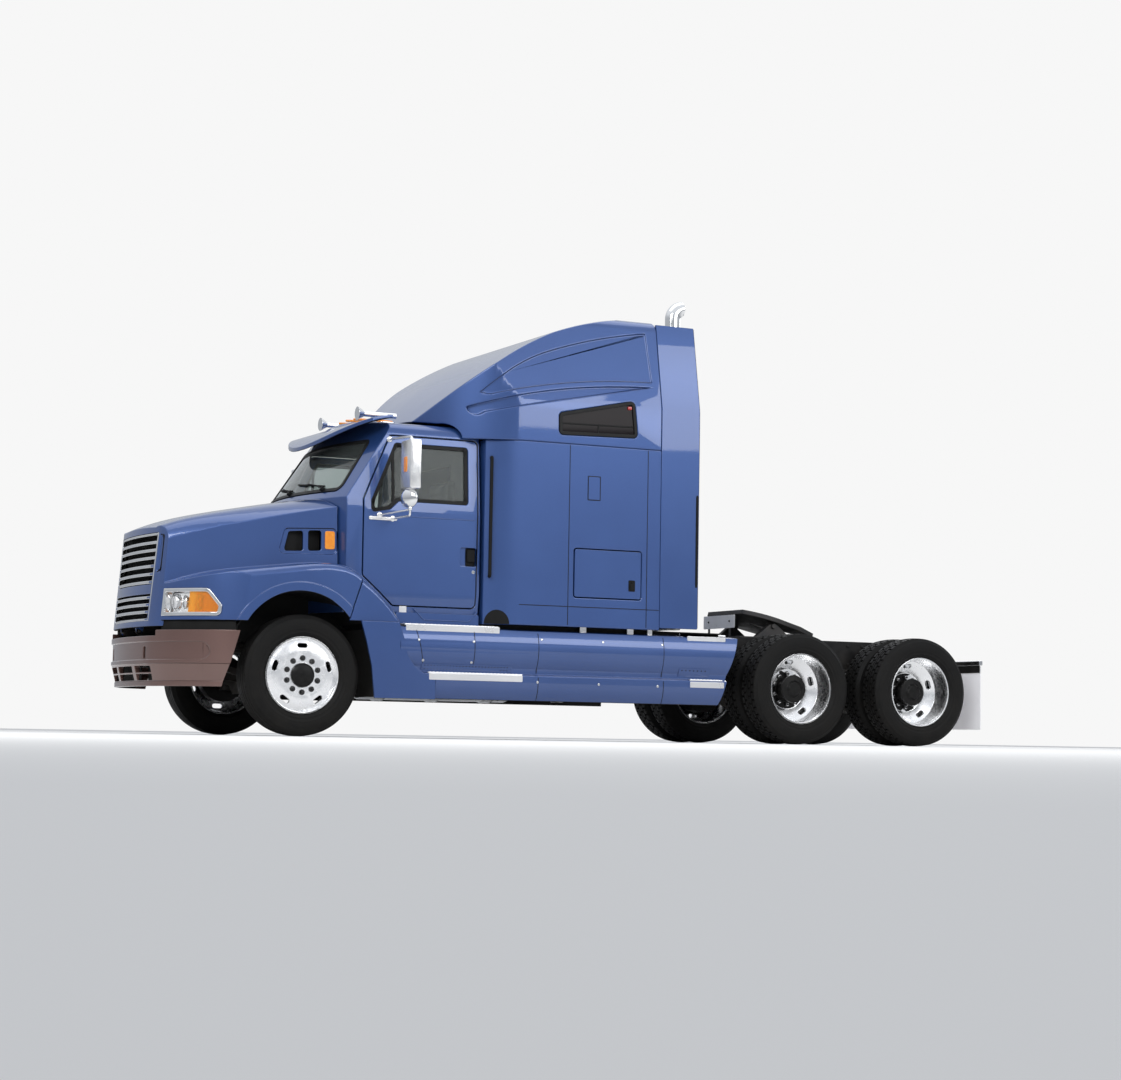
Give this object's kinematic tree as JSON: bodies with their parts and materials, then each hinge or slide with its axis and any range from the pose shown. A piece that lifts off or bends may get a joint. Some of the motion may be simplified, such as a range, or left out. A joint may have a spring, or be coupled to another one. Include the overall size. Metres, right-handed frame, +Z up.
{
  "type": "semi truck tractor unit",
  "caption": "Conventional-nose tractor unit with a sleeper, steered front wheels, twin driven axles, opening doors, hatches and tilting hood, and a rocking fifth wheel.",
  "frame": {"origin": "centre of the bounding box, on the ground the tyres stand on", "axes": "+X towards the rear of the truck, +Y towards its right-hand side seen from the driver's seat, +Z up"},
  "size_m": [8.105, 2.98, 4.0445],
  "materials": {
    "body_blue": "metallic gloss",
    "chassis_black": "satin",
    "cast_metal": "matte",
    "tyre_rubber": "matte",
    "wheel_alloy": "polished",
    "tank_alloy": "satin",
    "bright_chrome": "polished",
    "bumper_grey": "metallic satin",
    "visor_blue": "metallic gloss",
    "clear_glass": "polished",
    "dark_glass": "polished",
    "lamp_lens": "polished",
    "amber_lens": "polished",
    "flap_white": "satin",
    "trim_black": "matte",
    "seal_rubber": "matte",
    "seat_fabric": "matte"
  },
  "bodies": {
    "chassis": {"frame_rails": "chassis_black", "crossmembers": "chassis_black", "frame_brackets": "chassis_black", "front_axle": "cast_metal", "leaf_springs": "chassis_black", "drive_axles": "cast_metal", "propshafts": "chassis_black", "drive_suspension": "chassis_black", "engine_block": "cast_metal", "radiator": "wheel_alloy", "fuel_tanks": "tank_alloy", "cab_shell": "body_blue", "windscreen": "clear_glass", "fender_tails": "body_blue", "bumper": "bumper_grey", "sun_visor": "visor_blue", "sleeper_shell": "body_blue", "gangway_seal": "seal_rubber", "roof_fairing": "body_blue", "roof_windows": "dark_glass", "side_extenders": "body_blue", "side_skirts": "body_blue", "step_plates": "tank_alloy", "fifth_wheel_base": "cast_metal", "mudflap_bar": "chassis_black", "mudflaps": "flap_white", "exhaust_stacks": "bright_chrome", "roof_lamps": "amber_lens", "air_horns": "bright_chrome", "dashboard": "trim_black", "steering_wheel": "trim_black", "seats": "seat_fabric", "bunk": "seat_fabric"},
    "steer_left": {"knuckle_left": "cast_metal"},
    "steer_right": {"knuckle_right": "cast_metal"},
    "tie_rod": {"tie_rod": "cast_metal"},
    "wheel_front_left": {"tyres_front_left": "tyre_rubber", "wheel_front_left": "wheel_alloy"},
    "wheel_front_right": {"tyres_front_right": "tyre_rubber", "wheel_front_right": "wheel_alloy"},
    "wheels_drive_1_left": {"tyres_drive_1_left": "tyre_rubber", "wheel_drive_1_left": "wheel_alloy"},
    "wheels_drive_1_right": {"tyres_drive_1_right": "tyre_rubber", "wheel_drive_1_right": "wheel_alloy"},
    "wheels_drive_2_left": {"tyres_drive_2_left": "tyre_rubber", "wheel_drive_2_left": "wheel_alloy"},
    "wheels_drive_2_right": {"tyres_drive_2_right": "tyre_rubber", "wheel_drive_2_right": "wheel_alloy"},
    "door_left": {"door_left": "body_blue", "door_glass_left": "clear_glass", "mirror_left": "bright_chrome"},
    "door_right": {"door_right": "body_blue", "door_glass_right": "clear_glass", "mirror_right": "bright_chrome"},
    "hood": {"hood": "body_blue", "grille": "bright_chrome", "headlamps": "lamp_lens"},
    "fifth_wheel": {"fifth_wheel_plate": "cast_metal"},
    "hatch_left": {"hatch_left": "body_blue"},
    "hatch_right": {"hatch_right": "body_blue"}
  },
  "joints": [
    {"name": "steer_left", "type": "hinge", "parent": "chassis", "child": "steer_left", "pos_m": [-2.8375, -0.85, 0.512], "axis": [0, 0, 1], "range_deg": [-32, 32]},
    {"name": "steer_right", "type": "hinge", "parent": "chassis", "child": "steer_right", "pos_m": [-2.8375, 0.85, 0.512], "axis": [0, 0, 1], "range_deg": [-32, 32]},
    {"name": "tie_rod_joint", "type": "hinge", "parent": "steer_left", "child": "tie_rod", "pos_m": [-2.6675, -0.85, 0.385], "axis": [0, 0, 1], "range_deg": [-32, 32]},
    {"name": "front_wheel_left_spin", "type": "hinge", "parent": "steer_left", "child": "wheel_front_left", "pos_m": [-2.8375, -1.02, 0.512], "axis": [0, 1, 0], "continuous": true},
    {"name": "front_wheel_right_spin", "type": "hinge", "parent": "steer_right", "child": "wheel_front_right", "pos_m": [-2.8375, 1.02, 0.512], "axis": [0, 1, 0], "continuous": true},
    {"name": "drive_wheels_1_left_spin", "type": "hinge", "parent": "chassis", "child": "wheels_drive_1_left", "pos_m": [2.0225, -0.909, 0.512], "axis": [0, 1, 0], "continuous": true},
    {"name": "drive_wheels_1_right_spin", "type": "hinge", "parent": "chassis", "child": "wheels_drive_1_right", "pos_m": [2.0225, 0.909, 0.512], "axis": [0, 1, 0], "continuous": true},
    {"name": "drive_wheels_2_left_spin", "type": "hinge", "parent": "chassis", "child": "wheels_drive_2_left", "pos_m": [3.3425, -0.909, 0.512], "axis": [0, 1, 0], "continuous": true},
    {"name": "drive_wheels_2_right_spin", "type": "hinge", "parent": "chassis", "child": "wheels_drive_2_right", "pos_m": [3.3425, 0.909, 0.512], "axis": [0, 1, 0], "continuous": true},
    {"name": "door_left_hinge", "type": "hinge", "parent": "chassis", "child": "door_left", "pos_m": [-2.2815, -1.05, 1.7], "axis": [0, 0, -1], "range_deg": [0, 70]},
    {"name": "door_right_hinge", "type": "hinge", "parent": "chassis", "child": "door_right", "pos_m": [-2.2815, 1.05, 1.7], "axis": [0, 0, 1], "range_deg": [0, 70]},
    {"name": "hood_tilt", "type": "hinge", "parent": "chassis", "child": "hood", "pos_m": [-3.9875, 0, 0.868], "axis": [0, -1, 0], "range_deg": [0, 65]},
    {"name": "fifth_wheel_pivot", "type": "hinge", "parent": "chassis", "child": "fifth_wheel", "pos_m": [2.1825, 0, 1.12], "axis": [0, -1, 0], "range_deg": [0, 28]},
    {"name": "hatch_left_hinge", "type": "hinge", "parent": "chassis", "child": "hatch_left", "pos_m": [-0.3455, -1.22, 1.48], "axis": [0, 0, -1], "range_deg": [0, 90]},
    {"name": "hatch_right_hinge", "type": "hinge", "parent": "chassis", "child": "hatch_right", "pos_m": [-0.3455, 1.22, 1.48], "axis": [0, 0, 1], "range_deg": [0, 90]}
  ],
  "couplings": [
    {"joint": "steer_right", "follows": "steer_left", "ratio": 1},
    {"joint": "tie_rod_joint", "follows": "steer_left", "ratio": -1}
  ]
}
